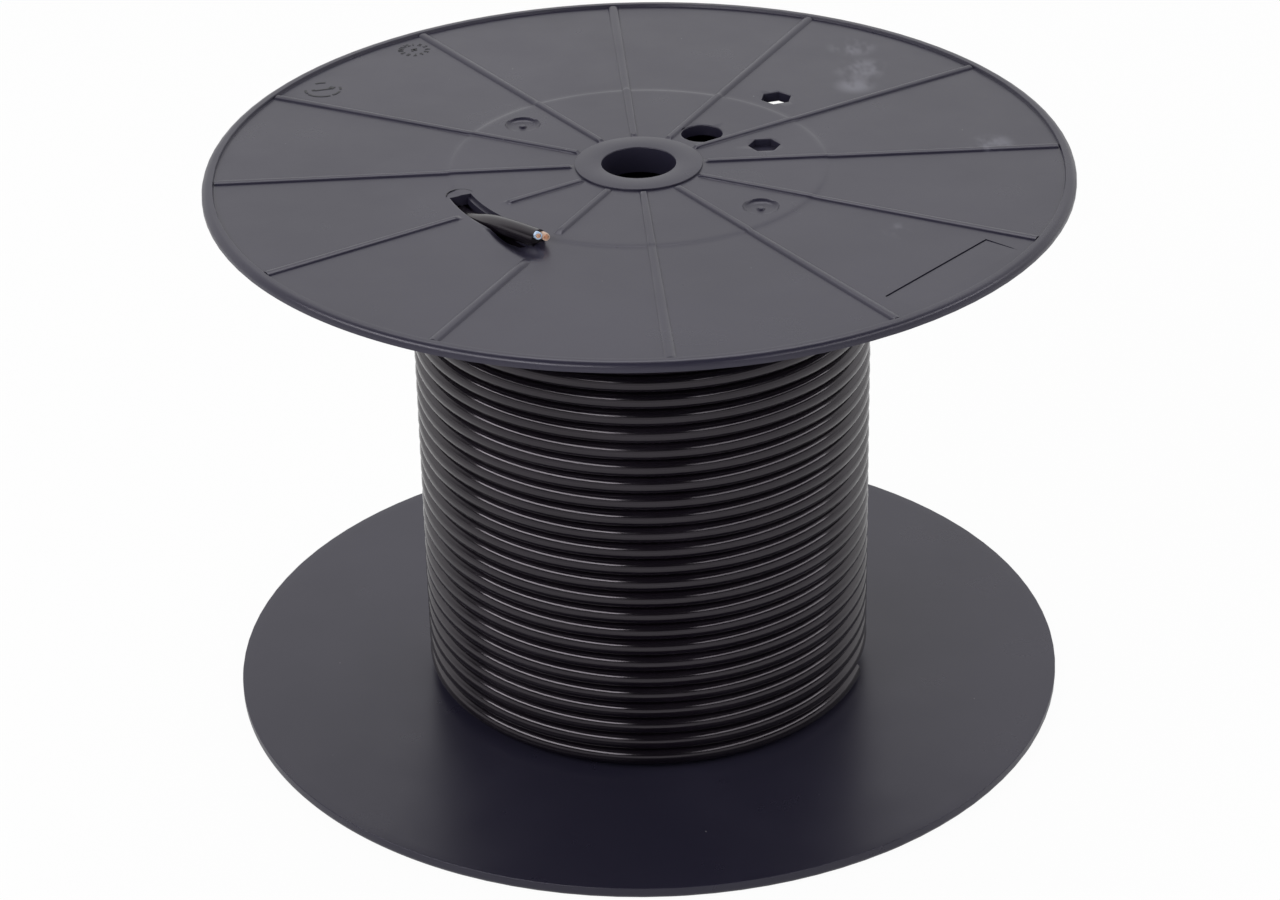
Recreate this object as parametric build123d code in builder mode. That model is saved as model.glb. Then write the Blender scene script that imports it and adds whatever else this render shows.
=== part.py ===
from build123d import *

import os
from math import cos, pi, radians, sin, tan

# A black moulded plastic cable drum, standing on one flange and full of black two-core
# cable. Two equal moulded flanges close a tube. Thirty turns of round cable lie side by
# side between them, three layers deep, and the inner end of the cable comes out through
# the starting slot of the upper flange.

# Driving dimensions, in millimetres and degrees.
flange_diameter = 350.0
plate_thickness = 4.2
rim_height = 5.4
rim_width = 4.2
rim_slope = 1.0
rim_corner = 1.2

bore_diameter = 30.0
bore_boss_diameter = 44.0
bore_boss_height = 6.0
collar_diameter = 51.4
collar_height = 0.8
raised_disc_margin = 4.25
raised_disc_height = 0.35
raised_disc_slope = 1.4

rib_count = 12
rib_height = 1.0
rib_inner_width = 2.6
rib_outer_width = 4.4
rib_side_slope = 40.0
rib_overlap = 1.0
split_rib_number = 7
split_rib_inner_gap = 7.5
split_rib_outer_gap = 14.5

drive_hole_diameter = 16.8
drive_hole_reach = 39.3
drive_hole_angle = 45.0

hex_corner_diameter = 13.2
hex_wall = 2.4
hex_depth = 3.0
open_hex_place = (87.3, 45.0, 15.0)
blind_hex_place = (53.7, 14.5, 0.0)

gate_dish_diameter = 14.4
gate_dish_depth = 1.4
gate_dish_inset = 7.5
gate_dish_angles = [-45.0, 135.0]

label_length = 63.0
label_width = 14.6
label_depth = 0.3
label_reach = 156.5
label_angle = -45.0
dial_diameter = 13.6
dial_depth = 0.25
dial_reach = 155.2
dial_angle = 125.0

barrel_diameter = 142.0
barrel_wall = 3.0
spigot_height = 8.0
spigot_wall = 2.6
spigot_clearance = 0.2

cable_diameter = 7.5
turn_count = 30
layer_count = 3
layer_step = 7.63
layer_groove_depth = 1.1
layer_groove_width = 2.4
turns_per_ridge = 2
ridge_height = 2.2
winding_clearance = 0.1

slot_start_angle = -163.0
slot_end_angle = -122.0
slot_start_width = 9.3
slot_end_width = 14.5
slot_edge_rounding = 1.8

core_diameter = 2.9
core_wall = 0.65
core_length = 10.0
core_reach = 2.4
core_lift = 0.9
conductor_reach = 0.3
core_roll = -29.0
core_clearance = 0.03

# Sizes that follow from those.
flange_radius = flange_diameter / 2
bore_radius = bore_diameter / 2
collar_radius = collar_diameter / 2
rim_inner_radius = flange_radius - rim_width
disc_top = plate_thickness + raised_disc_height
collar_top = disc_top + collar_height
barrel_radius = barrel_diameter / 2
disc_radius = barrel_radius + raised_disc_margin
barrel_bore_radius = barrel_radius - barrel_wall
spigot_radius = barrel_bore_radius - spigot_clearance
cable_radius = cable_diameter / 2
winding_bore_radius = barrel_radius + winding_clearance
winding_radius = winding_bore_radius + layer_count * layer_step
traverse = turn_count * cable_diameter
lower_inner_face = rim_height
upper_inner_face = rim_height + traverse
drum_height = traverse + 2 * rim_height

# The cable's inner end: distance from the barrel's outside, direction, and height above the
# upper flange's inner face, from the first layer out through the slot to its cut end.
tail_route = [
    (4.2, -172.0, -4.7),
    (4.6, -162.0, -4.0),
    (5.2, -152.5, -0.6),
    (5.1, -142.5, 3.4),
    (6.4, -133.0, 5.7),
    (8.6, -124.5, 7.2),
]


def polar(reach, angle):
    """The point at a distance from the drum's axis, in a direction in degrees."""
    return reach * cos(radians(angle)), reach * sin(radians(angle))


# One flange lies with its inner face at height zero and its outer face up. It is a thin
# plate with a raised rim, a low disc in the middle, a collar round the bore, and inside a
# boss and the spigot ring that centres the barrel.
spigot_inner_radius = spigot_radius - spigot_wall
boss_radius = bore_boss_diameter / 2

with BuildPart() as plate:
    with BuildSketch(Plane.XZ):
        with BuildLine():
            Polyline(
                (bore_radius, -bore_boss_height),
                (boss_radius, -bore_boss_height),
                (boss_radius, 0),
                (spigot_inner_radius, 0),
                (spigot_inner_radius, -spigot_height),
                (spigot_radius, -spigot_height),
                (spigot_radius, 0),
                (flange_radius, 0),
                (flange_radius, rim_height),
                (rim_inner_radius + rim_slope, rim_height),
                (rim_inner_radius, plate_thickness),
                (disc_radius + raised_disc_slope, plate_thickness),
                (disc_radius, disc_top),
                (collar_radius, disc_top),
                (collar_radius, collar_top),
                (bore_radius, collar_top),
                close=True,
            )
        make_face()
    revolve(axis=Axis.Z)
    outer_edges = plate.edges().filter_by(GeomType.CIRCLE).filter_by(lambda e: e.radius > flange_radius - 0.01)
    chamfer(outer_edges.sort_by(Axis.Z)[-1], rim_corner)


def rib_half_width(reach):
    """Half of a rib's width: it widens from the collar to the rim."""
    share = (reach - collar_radius) / (rim_inner_radius - collar_radius)
    return (rib_inner_width + (rib_outer_width - rib_inner_width) * share) / 2


def rib_between(start, end):
    """A rib along +X: a slim bead with sloping sides that widens towards the rim."""
    with BuildPart() as rib:
        with BuildSketch(Plane.XY.offset(plate_thickness)):
            Polygon(
                (start, -rib_half_width(start)),
                (end, -rib_half_width(end)),
                (end, rib_half_width(end)),
                (start, rib_half_width(start)),
                align=None,
            )
        extrude(amount=rib_height, taper=rib_side_slope)
    return rib.part


whole_rib = rib_between(collar_radius - rib_overlap, rim_inner_radius + rim_slope / 2)
split_rib_inner = rib_between(collar_radius - rib_overlap, barrel_radius - split_rib_inner_gap)
split_rib_outer = rib_between(barrel_radius + split_rib_outer_gap, rim_inner_radius + rim_slope / 2)

# The starting slot runs along the barrel. Its outer side is nearly straight, so that it
# widens in the direction in which the cable comes out.
slot_middle_angle = (slot_start_angle + slot_end_angle) / 2
slot_inner_start = polar(barrel_radius, slot_start_angle)
slot_inner_middle = polar(barrel_radius, slot_middle_angle)
slot_inner_end = polar(barrel_radius, slot_end_angle)
slot_outer_start = polar(barrel_radius + slot_start_width, slot_start_angle)
slot_outer_end = polar(barrel_radius + slot_end_width, slot_end_angle)
slot_bulge = (slot_start_width + slot_end_width) / 2
slot_outer_middle = polar(barrel_radius + slot_bulge - 0.8, slot_middle_angle)

with BuildPart() as flange:
    add(plate.part)
    for number in range(rib_count):
        with Locations(Location((0, 0, 0), (0, 0, 360 * number / rib_count))):
            if number == split_rib_number:
                add(split_rib_inner)
                add(split_rib_outer)
            else:
                add(whole_rib)
    with Locations((*polar(*blind_hex_place[:2]), 0)):
        Cylinder(
            hex_corner_diameter / 2 + hex_wall,
            plate_thickness,
            align=(Align.CENTER, Align.CENTER, Align.CENTER),
        )
    with BuildSketch(Plane.XY.offset(-spigot_height)):
        Circle(bore_radius)
        with Locations(polar(drive_hole_reach, drive_hole_angle)):
            Circle(drive_hole_diameter / 2)
    extrude(amount=spigot_height + rim_height, mode=Mode.SUBTRACT)
    with BuildSketch(Plane.XY.offset(disc_top - hex_depth)):
        with Locations(Location((*polar(*blind_hex_place[:2]), 0), blind_hex_place[2])):
            RegularPolygon(hex_corner_diameter / 2, 6)
    extrude(amount=2 * hex_depth, mode=Mode.SUBTRACT)
    with BuildSketch(Plane.XY):
        with Locations(Location((*polar(*open_hex_place[:2]), 0), open_hex_place[2])):
            RegularPolygon(hex_corner_diameter / 2, 6)
    extrude(amount=rim_height, mode=Mode.SUBTRACT)
    for angle in gate_dish_angles:
        with BuildSketch(Plane.XY.offset(disc_top - gate_dish_depth)):
            with Locations(polar(barrel_radius - gate_dish_inset, angle)):
                Circle(gate_dish_diameter / 2)
        extrude(amount=gate_dish_depth + rib_height, taper=-20, mode=Mode.SUBTRACT)
    label_plane = Plane(
        origin=(*polar(label_reach, label_angle), plate_thickness - label_depth),
        x_dir=(*polar(1, label_angle + 90), 0),
        z_dir=(0, 0, 1),
    )
    with BuildSketch(label_plane):
        Rectangle(label_length, label_width)
    extrude(amount=2 * label_depth, mode=Mode.SUBTRACT)
    with BuildSketch(Plane.XY.offset(plate_thickness - dial_depth)):
        with Locations(polar(dial_reach, dial_angle)):
            Circle(dial_diameter / 2)
    extrude(amount=2 * dial_depth, mode=Mode.SUBTRACT)
    with BuildSketch(Plane.XY) as slot_outline:
        with BuildLine():
            ThreePointArc(slot_inner_start, slot_inner_middle, slot_inner_end)
            Line(slot_inner_end, slot_outer_end)
            ThreePointArc(slot_outer_end, slot_outer_middle, slot_outer_start)
            Line(slot_outer_start, slot_inner_start)
        make_face()
    extrude(amount=rim_height, mode=Mode.SUBTRACT)
    slot_edges = flange.edges().filter_by_position(Axis.Z, plate_thickness - 0.01, plate_thickness + 0.01)
    slot_lip = slot_edges.sort_by_distance((*slot_outer_middle, plate_thickness))[0]
    fillet(slot_lip, slot_edge_rounding)

with BuildPart() as flange_top:
    add(flange.part.moved(Location((0, 0, upper_inner_face))))

# The lower flange is the same moulding turned over, so that both drive holes line up.
turn_over_axis = Axis((0, 0, 0), (*polar(1, drive_hole_angle), 0))
with BuildPart() as flange_bottom:
    add(flange.part.rotate(turn_over_axis, 180).moved(Location((0, 0, lower_inner_face))))

# The barrel is a plain tube between the flanges.
with BuildPart() as barrel:
    with BuildSketch(Plane.XY.offset(lower_inner_face)):
        Circle(barrel_radius)
        Circle(barrel_bore_radius, mode=Mode.SUBTRACT)
    extrude(amount=traverse)

# The wound cable is one turned solid. Its two ends show a groove between each layer of
# turns and the next, and its side has one ridge for every two turns.
ridge_step = turns_per_ridge * cable_diameter
ridge_count = turn_count // turns_per_ridge
valley_radius = winding_radius - ridge_height
side_points = [(valley_radius, lower_inner_face)]
for ridge in range(ridge_count):
    ridge_foot = lower_inner_face + ridge * ridge_step
    side_points.append((winding_radius, ridge_foot + ridge_step / 2))
    side_points.append((valley_radius, ridge_foot + ridge_step))

with BuildPart() as cable_winding:
    with BuildSketch(Plane.XZ):
        with BuildLine():
            Polyline(
                (winding_bore_radius, lower_inner_face),
                *side_points,
                (winding_bore_radius, upper_inner_face),
                close=True,
            )
        make_face()
        for layer in range(1, layer_count):
            groove_radius = winding_bore_radius + layer * layer_step
            for face, depth in [(lower_inner_face, 1), (upper_inner_face, -1)]:
                with BuildLine():
                    Polyline(
                        (groove_radius - layer_groove_width / 2, face),
                        (groove_radius, face + depth * layer_groove_depth),
                        (groove_radius + layer_groove_width / 2, face),
                        close=True,
                    )
                make_face(mode=Mode.SUBTRACT)
    revolve(axis=Axis.Z)

# The tail of the cable leaves the first layer and climbs through the slot. Its jacket is
# stripped at the end, where the blue and the brown core show with their copper.
tail_points = []
for offset, angle, height in tail_route:
    tail_points.append(Vector(*polar(barrel_radius + offset, angle), upper_inner_face + height))
tail_runs = [(b - a) for a, b in zip(tail_points, tail_points[1:])]
tail_radii = []
for first, second in zip(tail_runs, tail_runs[1:]):
    half_turn = radians(first.get_angle(second)) / 2
    tail_radii.append(0.45 * min(first.length, second.length) / tan(half_turn))
print("tail bend radii", [round(radius, 1) for radius in tail_radii])

tail_end = tail_points[-1]
tail_direction = tail_runs[-1].normalized()
sideways = Vector(0, 0, 1).cross(tail_direction).normalized()
pair_direction = sideways.rotate(Axis((0, 0, 0), tail_direction), core_roll)
end_plane = Plane(origin=tail_end, x_dir=pair_direction, z_dir=tail_direction)
core_radius = core_diameter / 2
core_offset = core_radius + core_clearance
conductor_radius = core_radius - core_wall

with BuildPart() as cable_tail:
    with BuildLine() as tail_path:
        FilletPolyline(*tail_points, radius=tail_radii)
    tail_wire = tail_path.wire()
    with BuildSketch(Plane(origin=tail_wire @ 0, z_dir=tail_wire % 0)):
        Circle(cable_radius)
    sweep()
    jacket_volume = cable_tail.part.volume
    path_volume = pi * cable_radius**2 * tail_wire.length
    split(bisect_by=Plane.XY.offset(upper_inner_face), keep=Keep.TOP)
    with BuildSketch(end_plane.offset(-core_length)):
        with Locations((-core_offset, core_lift), (core_offset, core_lift)):
            Circle(core_radius + core_clearance / 2)
    extrude(amount=2 * core_length, mode=Mode.SUBTRACT)
print("tail volume against its path", round(jacket_volume), round(path_volume))


def core_and_conductor(side_shift):
    """A core with its insulation, and the copper that shows at its end."""
    with BuildPart() as core:
        with BuildSketch(end_plane.offset(-core_length)):
            with Locations((side_shift, core_lift)):
                Circle(core_radius)
        extrude(amount=core_length + core_reach)
        with BuildSketch(end_plane.offset(core_reach - core_length / 2)):
            with Locations((side_shift, core_lift)):
                Circle(conductor_radius)
        extrude(amount=core_length, mode=Mode.SUBTRACT)
    with BuildPart() as conductor:
        with BuildSketch(end_plane.offset(core_reach - core_length / 2)):
            with Locations((side_shift, core_lift)):
                Circle(conductor_radius)
        extrude(amount=core_length / 2 + conductor_reach)
    return core, conductor


core_blue, conductor_blue = core_and_conductor(-core_offset)
core_brown, conductor_brown = core_and_conductor(core_offset)

pieces = {
    "flange_top": flange_top,
    "flange_bottom": flange_bottom,
    "barrel": barrel,
    "cable_winding": cable_winding,
    "cable_tail": cable_tail,
    "core_blue": core_blue,
    "core_brown": core_brown,
    "conductor_blue": conductor_blue,
    "conductor_brown": conductor_brown,
}

os.makedirs("parts", exist_ok=True)
for name, piece in pieces.items():
    piece.part.label = name
    export_step(piece.part, f"parts/{name}.step")
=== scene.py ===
# %% [markdown]
# A moulded cable drum. Two thin plastic flanges close a tube that is wound with black
# cable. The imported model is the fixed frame: every piece below is made in metres where
# that model says, and only its surface is made richer.

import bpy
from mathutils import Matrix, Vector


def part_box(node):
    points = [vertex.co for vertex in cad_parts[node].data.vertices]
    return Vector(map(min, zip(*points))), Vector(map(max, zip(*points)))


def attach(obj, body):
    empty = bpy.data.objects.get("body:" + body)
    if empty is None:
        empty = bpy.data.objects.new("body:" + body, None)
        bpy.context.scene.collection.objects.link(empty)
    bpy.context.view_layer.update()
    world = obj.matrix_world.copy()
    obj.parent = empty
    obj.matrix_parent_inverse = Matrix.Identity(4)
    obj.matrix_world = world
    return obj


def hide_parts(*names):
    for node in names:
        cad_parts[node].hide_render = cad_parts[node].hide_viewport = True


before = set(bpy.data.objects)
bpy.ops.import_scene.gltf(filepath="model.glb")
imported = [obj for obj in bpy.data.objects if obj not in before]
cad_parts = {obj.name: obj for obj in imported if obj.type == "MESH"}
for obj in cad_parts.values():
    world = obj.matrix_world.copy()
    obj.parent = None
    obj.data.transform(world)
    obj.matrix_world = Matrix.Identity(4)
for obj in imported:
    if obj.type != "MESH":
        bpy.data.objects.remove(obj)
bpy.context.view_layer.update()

import math
import random

import bmesh
import bpy
from mathutils import Matrix, Vector

print("frame holds", sorted(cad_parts))

# %% [markdown]
# Sizes are written in millimetres, as on a workshop drawing, and turned to
# metres when a mesh is made. Heights on a flange count from its inner face. The places of
# both inner faces are read from the frame.

# %% Sizes of the drum
MM = 0.001
flange_radius = 175.0
plate_top = 4.2
disc_top = 4.55
collar_top = 5.35
rim_top = 5.4
rim_inner_radius = 170.0
bore_radius = 15.0
collar_radius = 25.7
disc_radius = 75.95
barrel_radius = 71.0
cable_radius = 3.75
winding_radius = 94.0
upper_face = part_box("barrel")[1].z / MM
lower_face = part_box("barrel")[0].z / MM
traverse = upper_face - lower_face
turn_count = 30
print("space for the cable is", round(traverse, 2), "mm high")


def polar(reach, angle):
    """The point at a distance from the drum's axis, in a direction in degrees."""
    return reach * math.cos(math.radians(angle)), reach * math.sin(math.radians(angle))


# %% [markdown]
# Each mesh is made from lists of points and faces. One helper turns millimetres to
# metres, welds what coincides, points the faces outwards and shades the result smooth,
# with hard edges only where two faces meet at a clear angle. Others name the faces between
# rings of points, and join several meshes in one object.

# %% Helper for meshes
def make_piece(name, points, faces, material, sharp_angle=38):
    """A new object whose mesh has these points in millimetres."""
    mesh = bpy.data.meshes.new(name)
    mesh.from_pydata([[c * MM for c in point] for point in points], [], faces)
    tidy_mesh(mesh, sharp_angle)
    piece = bpy.data.objects.new(name, mesh)
    bpy.context.scene.collection.objects.link(piece)
    mesh.materials.append(material)
    return piece


def tidy_mesh(mesh, sharp_angle=38):
    """Welds doubles, points faces outwards and shades smooth up to an angle."""
    work = bmesh.new()
    work.from_mesh(mesh)
    bmesh.ops.remove_doubles(work, verts=work.verts, dist=0.004 * MM)
    bmesh.ops.recalc_face_normals(work, faces=work.faces)
    work.to_mesh(mesh)
    work.free()
    mesh.polygons.foreach_set("use_smooth", [True] * len(mesh.polygons))
    mesh.set_sharp_from_angle(angle=math.radians(sharp_angle))


def ring_faces(ring_count, ring_size, closed=False):
    """Quads between rings of equally many points; the last ring may join the first."""
    faces = []
    for ring in range(ring_count if closed else ring_count - 1):
        here = ring * ring_size
        there = (ring + 1) % ring_count * ring_size
        for i in range(ring_size):
            j = (i + 1) % ring_size
            faces.append((here + i, here + j, there + j, there + i))
    return faces


def capped_faces(ring_count, ring_size):
    """Faces of a tube of rings that is closed at its first and its last ring."""
    faces = ring_faces(ring_count, ring_size)
    faces.append(tuple(range(ring_size - 1, -1, -1)))
    last = (ring_count - 1) * ring_size
    faces.append(tuple(range(last, last + ring_size)))
    return faces


def join_meshes(name, parts, material):
    """One object that holds several meshes."""
    work = bmesh.new()
    for mesh in parts:
        work.from_mesh(mesh)
    joined = bpy.data.meshes.new(name)
    work.to_mesh(joined)
    work.free()
    joined.polygons.foreach_set("use_smooth", [True] * len(joined.polygons))
    joined.set_sharp_from_angle(angle=math.radians(40))
    joined.materials.clear()
    joined.materials.append(material)
    piece = bpy.data.objects.new(name, joined)
    bpy.context.scene.collection.objects.link(piece)
    return piece


# %% [markdown]
# ## Materials
# The drum is polyethylene with a fine spark-eroded grain: dark, satin, and pale where dust
# and handling have left marks. Its colour, roughness and bump all come from noise on
# Object coordinates, so that the pattern stays on the piece from any side.

# %% Helper for node materials
def new_material(name):
    """An empty node material with its shader and its object coordinates."""
    material = bpy.data.materials.new(name)
    material.use_nodes = True
    tree = material.node_tree
    tree.nodes.clear()
    output = tree.nodes.new("ShaderNodeOutputMaterial")
    shader = tree.nodes.new("ShaderNodeBsdfPrincipled")
    tree.links.new(shader.outputs["BSDF"], output.inputs["Surface"])
    where = tree.nodes.new("ShaderNodeTexCoord").outputs["Object"]
    return material, tree, shader, where


def noise(tree, where, scale, detail=3.0, roughness=0.55, stretch=None):
    """A noise value; its scale is in features per metre."""
    if stretch is not None:
        mapping = tree.nodes.new("ShaderNodeMapping")
        mapping.inputs["Scale"].default_value = stretch
        tree.links.new(where, mapping.inputs["Vector"])
        where = mapping.outputs["Vector"]
    node = tree.nodes.new("ShaderNodeTexNoise")
    node.inputs["Scale"].default_value = scale
    node.inputs["Detail"].default_value = detail
    node.inputs["Roughness"].default_value = roughness
    tree.links.new(where, node.inputs["Vector"])
    return node.outputs["Fac"]


# %% Helpers for values, colours and bump
def remap(tree, value, low, high, to_low=0.0, to_high=1.0):
    """Maps a range of a value smoothly to another range, and clamps it."""
    node = tree.nodes.new("ShaderNodeMapRange")
    node.interpolation_type = "SMOOTHSTEP"
    node.inputs["From Min"].default_value = low
    node.inputs["From Max"].default_value = high
    node.inputs["To Min"].default_value = to_low
    node.inputs["To Max"].default_value = to_high
    tree.links.new(value, node.inputs["Value"])
    return node.outputs["Result"]


def maths(tree, operation, first, second):
    """One arithmetic step between values or numbers."""
    node = tree.nodes.new("ShaderNodeMath")
    node.operation = operation
    for socket, value in zip(node.inputs, (first, second)):
        if isinstance(value, (int, float)):
            socket.default_value = value
        else:
            tree.links.new(value, socket)
    return node.outputs["Value"]


def mix_colour(tree, share, first, second):
    """Two colours mixed by a value; each is a colour or a socket."""
    node = tree.nodes.new("ShaderNodeMix")
    node.data_type = "RGBA"
    tree.links.new(share, node.inputs["Factor"])
    for socket, colour in ((node.inputs[6], first), (node.inputs[7], second)):
        if isinstance(colour, tuple):
            socket.default_value = (*colour, 1.0)
        else:
            tree.links.new(colour, socket)
    return node.outputs[2]


def add_bump(tree, shader, height, distance, strength=1.0):
    """Bump of a height in millimetres."""
    bump = tree.nodes.new("ShaderNodeBump")
    bump.inputs["Distance"].default_value = distance * MM
    bump.inputs["Strength"].default_value = strength
    tree.links.new(height, bump.inputs["Height"])
    tree.links.new(bump.outputs["Normal"], shader.inputs["Normal"])


# %% The drum's plastic
# Colours are linear, and a worn spot is a little paler than the rest.
PLASTIC = (0.018, 0.0165, 0.031)
PLASTIC_WORN = (0.025, 0.023, 0.040)
DUST = (0.30, 0.29, 0.31)
SMUDGE = (0.20, 0.20, 0.24)
# Pale handling marks on the upper flange: across and along in millimetres, and size.
SMUDGES = [
    (100.0, 113.0, 13.0),
    (101.0, 88.0, 15.0),
    (96.0, 71.0, 11.0),
    (97.0, -72.0, 9.0),
    (144.0, 5.0, 12.0),
]


def drum_plastic(name, smudges=()):
    """Dark satin plastic with grain, soft wear, specks of dust and pale marks."""
    material, tree, shader, where = new_material(name)
    cloud = remap(tree, noise(tree, where, 9, 4), 0.35, 0.75)
    colour = mix_colour(tree, cloud, PLASTIC, PLASTIC_WORN)
    rough = remap(tree, noise(tree, where, 30, 5), 0.3, 0.7, 0.27, 0.34)
    for across, along, size in smudges:
        offset = tree.nodes.new("ShaderNodeVectorMath")
        offset.operation = "DISTANCE"
        offset.inputs[1].default_value = (across * MM, along * MM, (upper_face + plate_top) * MM)
        tree.links.new(where, offset.inputs[0])
        near = remap(tree, offset.outputs["Value"], size * MM, 0.2 * size * MM)
        broken = remap(tree, noise(tree, where, 70, 3, 0.6, (1.0, 0.45, 1.0)), 0.44, 0.60)
        share = maths(tree, "MULTIPLY", maths(tree, "MULTIPLY", near, broken), 0.5)
        colour = mix_colour(tree, share, colour, SMUDGE)
    specks = tree.nodes.new("ShaderNodeTexVoronoi")
    specks.inputs["Scale"].default_value = 160
    tree.links.new(where, specks.inputs["Vector"])
    speck = remap(tree, specks.outputs["Distance"], 0.055, 0.02)
    lone = remap(tree, noise(tree, where, 55, 2), 0.60, 0.68)
    colour = mix_colour(tree, maths(tree, "MULTIPLY", speck, lone), colour, DUST)
    tree.links.new(colour, shader.inputs["Base Color"])
    tree.links.new(rough, shader.inputs["Roughness"])
    shader.inputs["IOR"].default_value = 1.5
    shader.inputs["Specular Tint"].default_value = (0.95, 0.92, 1.0, 1.0)
    grain = noise(tree, where, 1500, 2)
    add_bump(tree, shader, grain, 0.02, 0.35)
    return material


upper_plastic = drum_plastic("drum_plastic_upper", SMUDGES)
lower_plastic = drum_plastic("drum_plastic_lower")
print("plastic has", len(upper_plastic.node_tree.nodes), "nodes")

# %% [markdown]
# The cable's jacket is nearly black and glossier than the drum. The cores' insulation and
# the copper only change a little from place to place.

# %% The cable's jacket and cores
def cable_jacket():
    """Black soft plastic with a low gloss, faint drawing lines and a little bloom."""
    material, tree, shader, where = new_material("cable_jacket")
    bloom = remap(tree, noise(tree, where, 26, 4), 0.45, 0.8)
    colour = mix_colour(tree, bloom, (0.0050, 0.0036, 0.0060), (0.0090, 0.0068, 0.0105))
    tree.links.new(colour, shader.inputs["Base Color"])
    rough = remap(tree, noise(tree, where, 60, 4), 0.3, 0.75, 0.11, 0.19)
    tree.links.new(rough, shader.inputs["Roughness"])
    shader.inputs["Specular Tint"].default_value = (0.99, 0.91, 1.0, 1.0)
    lines = noise(tree, where, 220, 3, 0.6, (1.0, 1.0, 9.0))
    add_bump(tree, shader, lines, 0.03, 0.25)
    return material


def tinted(name, dark, light, roughness, metallic=0.0):
    """A small part's colour with a little change across it."""
    material, tree, shader, where = new_material(name)
    share = remap(tree, noise(tree, where, 1400, 3), 0.35, 0.65)
    tree.links.new(mix_colour(tree, share, dark, light), shader.inputs["Base Color"])
    shader.inputs["Roughness"].default_value = roughness
    shader.inputs["Metallic"].default_value = metallic
    return material


jacket = cable_jacket()
blue_insulation = tinted("blue_insulation", (0.42, 0.60, 0.86), (0.62, 0.74, 0.90), 0.35)
brown_insulation = tinted("brown_insulation", (0.55, 0.36, 0.26), (0.72, 0.52, 0.40), 0.35)
copper = tinted("copper", (0.80, 0.42, 0.26), (0.93, 0.58, 0.40), 0.28, 1.0)
print("materials:", sorted(material.name for material in bpy.data.materials))

# %% [markdown]
# ## The flanges
# A flange is one injection moulding. Its ribs are not laid on it: they swell out of the
# plate with soft flanks. So the outer face is made as rings of points whose height is
# worked out from the distance to the nearest rib, and the points crowd together there.

# %% Where the ribs are
RIB_COUNT = 12
RIB_INNER_HALF = 1.6
RIB_OUTER_HALF = 2.3
RIB_INNER_END = 26.6
RIB_OUTER_END = 171.5
RIB_HEIGHT = 1.0
RIB_BELOW_RIM = 0.02
DISC_STEP_HALF = 1.4
# Two ribs have a gap, one for the slot and one for the hollow that runs out of it.
SPLIT_RIB = 7
SPLIT_FROM = 62.8
SPLIT_TO = 83.8
CHUTE_RIB = 8
CHUTE_FROM = 71.5
CHUTE_TO = 95.5
# Points across a rib, in halves of its width, and how many steps lie between two ribs. There
# are more of them where the hollow lies.
ACROSS_RIB = (-1.4, -1.0, -0.8, -0.55, -0.28, 0.0, 0.28, 0.55, 0.8, 1.0, 1.4)
BETWEEN_RIBS = {SPLIT_RIB: 26, CHUTE_RIB: 26}
USUAL_BETWEEN = 8


def smooth_step(value, low, high):
    """0 below low, 1 above high, and a soft change between; high may be the lower one."""
    share = min(max((value - low) / (high - low), 0.0), 1.0)
    return share * share * (3 - 2 * share)


def rib_half_width(reach):
    """Half of a rib's width, which grows towards the rim."""
    share = (reach - RIB_INNER_END) / (RIB_OUTER_END - RIB_INNER_END)
    return RIB_INNER_HALF + (RIB_OUTER_HALF - RIB_INNER_HALF) * min(max(share, 0.0), 1.0)


def ring_angles(reach):
    """Directions of a ring's points, crowded across each rib, with each one's rib."""
    reach = min(max(reach, RIB_INNER_END), RIB_OUTER_END)
    half = rib_half_width(reach)
    edge = math.degrees(math.asin(ACROSS_RIB[-1] * half / reach))
    angles = []
    for rib in range(RIB_COUNT):
        centre = 360 * rib / RIB_COUNT
        between = BETWEEN_RIBS.get(rib, USUAL_BETWEEN)
        step = (360 / RIB_COUNT - 2 * edge) / between
        for share in ACROSS_RIB:
            angles.append((centre + math.degrees(math.asin(share * half / reach)), rib, share))
        for i in range(1, between):
            angles.append((centre + edge + i * step, rib, ACROSS_RIB[-1]))
    return angles


print("points in a ring:", len(ring_angles(flange_radius)))


# %% How high a rib rises
def rib_rise(reach, rib, share):
    """How far a rib lifts the outer face at a point."""
    if abs(share) >= 1:
        return 0.0
    rise = RIB_HEIGHT * (1 - share * share) ** 0.65
    rise *= smooth_step(reach, RIB_INNER_END, RIB_INNER_END + 1.2)
    rise *= smooth_step(reach, RIB_OUTER_END, RIB_OUTER_END - 2.0)
    gaps = {SPLIT_RIB: (SPLIT_FROM, SPLIT_TO), CHUTE_RIB: (CHUTE_FROM, CHUTE_TO)}
    if rib in gaps:
        inner_end, outer_start = gaps[rib]
        inner = smooth_step(reach, inner_end, inner_end - 2.0)
        outer = smooth_step(reach, outer_start, outer_start + 2.0)
        rise *= max(inner, outer)
    return rise


# %% [markdown]
# Beside the end of the slot the plate sinks in a soft hollow, which leads the cable out. A
# cutter would leave a crisp edge round it. So its depth is one more term in the height of
# the outer face, and it fades out on all sides.

# %% The hollow and the raised disc
# The hollow's depth, its directions in degrees and its distances from the axis.
HOLLOW_DEPTH = 3.8
HOLLOW_FROM = -142.5
HOLLOW_FULL = -131.0
HOLLOW_TO = -122.0
HOLLOW_RAMP = 7.0
HOLLOW_SKEW = 5.6
HOLLOW_OUTER = 81.0
HOLLOW_INNER = 71.5
HOLLOW_WIDENING = 16.0
HOLLOW_WALL = 1.6


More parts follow.
